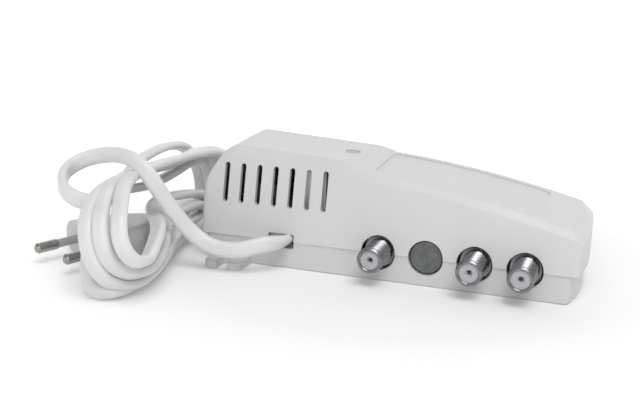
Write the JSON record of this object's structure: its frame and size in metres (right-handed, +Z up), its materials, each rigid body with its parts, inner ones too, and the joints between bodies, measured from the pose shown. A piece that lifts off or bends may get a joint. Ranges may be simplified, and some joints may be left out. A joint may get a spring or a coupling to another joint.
{
  "type": "tv signal amplifier",
  "caption": "Low white indoor aerial amplifier with a sloping vented cover, F sockets, a recessed gain disc, fixing lugs and a flat mains cord in a hank with a flat two-pin plug.",
  "frame": {"origin": "under the middle of the housing with its sockets and lugs, on the surface it stands on; the cord and plug are not counted", "axes": "+X along the connector wall to the right, -Y out of the connector wall, +Z up"},
  "size_m": [0.1998, 0.15, 0.0476],
  "materials": {
    "housing": "fine matt moulded texture",
    "screw_steel": "zinc plated",
    "board_laminate": "green solder mask",
    "plated_metal": "nickel plated",
    "connector_plastic": "pale moulded insulator",
    "contact_brass": "plated spring brass",
    "component_black": "moulded",
    "knob_grey": "matt grey",
    "tinplate": "tinned sheet",
    "ferrite": "fired ferrite",
    "copper": "enamelled copper wire",
    "component_tan": "ceramic",
    "lamination_steel": "varnished laminations",
    "winding_tape": "polyester tape",
    "glass": "clear",
    "capacitor_sleeve": "shrink sleeve",
    "heatsink_aluminium": "plain sheet",
    "led_resin": "tinted resin",
    "lens": "smoked clear plastic",
    "wire_insulation": "soft insulation",
    "cord_jacket": "smooth flexible jacket",
    "pin_metal": "nickel plated",
    "sleeve_plastic": "moulded sleeve"
  },
  "bodies": {
    "amplifier": {"amplifier_chip": "component_black", "base_shell": "housing", "board_screws": "screw_steel", "chip_components": "component_tan", "circuit_board": "board_laminate", "clamp_screws": "screw_steel", "connector_contact_left": "contact_brass", "connector_contact_middle": "contact_brass", "connector_contact_right": "contact_brass", "connector_insulator_left": "connector_plastic", "connector_insulator_middle": "connector_plastic", "connector_insulator_right": "connector_plastic", "connector_shell_left": "plated_metal", "connector_shell_middle": "plated_metal", "connector_shell_right": "plated_metal", "cord_clamp": "housing", "cord_free": "cord_jacket", "cord_hank": "cord_jacket", "core_windings": "copper", "cover_shell": "housing", "ferrite_cores": "ferrite", "fuse_caps": "plated_metal", "fuse_clips": "plated_metal", "fuse_tube": "glass", "gain_potentiometer": "component_black", "heatsink": "heatsink_aluminium", "heatsink_screw": "screw_steel", "housing_screws": "screw_steel", "indicator_lens": "lens", "mains_wires": "wire_insulation", "plug_body": "cord_jacket", "plug_pin_sleeves": "sleeve_plastic", "plug_pins": "pin_metal", "power_led": "led_resin", "rectifier_diodes": "component_black", "shield_frame": "tinplate", "shield_lid": "tinplate", "smoothing_capacitor": "capacitor_sleeve", "transformer_bobbin": "component_black", "transformer_core": "lamination_steel", "transformer_pins": "plated_metal", "transformer_winding": "winding_tape", "voltage_regulator": "component_black"},
    "gain_knob": {"gain_knob": "knob_grey"}
  },
  "joints": [
    {"name": "gain_turn", "type": "hinge", "parent": "amplifier", "child": "gain_knob", "pos_m": [0.018, -0.0225, 0.0108], "axis": [0, -1, 0], "range_deg": [-135, 135]}
  ]
}
